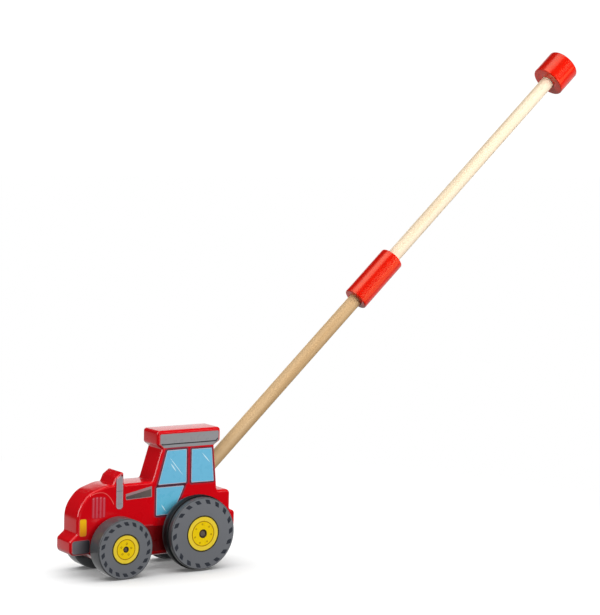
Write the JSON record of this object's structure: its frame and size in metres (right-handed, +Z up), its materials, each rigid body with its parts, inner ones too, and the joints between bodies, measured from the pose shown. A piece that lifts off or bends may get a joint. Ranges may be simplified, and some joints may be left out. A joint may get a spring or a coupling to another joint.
{
  "type": "push-along toy tractor",
  "caption": "Flat painted wooden toy tractor on rolling wheels, pushed by a long slanting pole with a sleeve joint and a round handle knob.",
  "frame": {"origin": "On the floor plane, under the middle of the whole toy's length and width, so under the middle of its bounding box.", "axes": "+X to the tractor's nose, +Y to the tractor's left side (along the axles), +Z up. The pole rises towards -X."},
  "size_m": [0.6557, 0.08, 0.5569],
  "materials": {
    "body_paint": "opaque gloss red paint with printed details on wood",
    "grip_paint": "opaque gloss red paint on turned wood",
    "wheel_paint": "satin grey paint with printed hub on turned wood",
    "bare_wood": "smooth bare pale beech",
    "tyre_rubber": "matt black rubber",
    "axle_steel": "dull steel"
  },
  "bodies": {
    "tractor": {"tractor_body": "body_paint", "lower_pole": "bare_wood", "pole_sleeve": "grip_paint", "upper_pole": "bare_wood", "handle_knob": "grip_paint"},
    "front_wheelset": {"front_axle": "axle_steel", "front_wheel_left": "wheel_paint", "front_wheel_right": "wheel_paint", "front_spacer_left": "bare_wood", "front_spacer_right": "bare_wood"},
    "rear_wheelset": {"rear_axle": "axle_steel", "rear_wheel_left": "wheel_paint", "rear_wheel_right": "wheel_paint", "rear_tyre_left": "tyre_rubber", "rear_tyre_right": "tyre_rubber", "rear_spacer_left": "bare_wood", "rear_spacer_right": "bare_wood"}
  },
  "joints": [
    {"name": "front_axle_spin", "type": "hinge", "parent": "tractor", "child": "front_wheelset", "pos_m": [0.2764, 0, 0.0314], "axis": [0, 1, 0], "continuous": true},
    {"name": "rear_axle_spin", "type": "hinge", "parent": "tractor", "child": "rear_wheelset", "pos_m": [0.1854, 0, 0.0396], "axis": [0, 1, 0], "continuous": true}
  ]
}
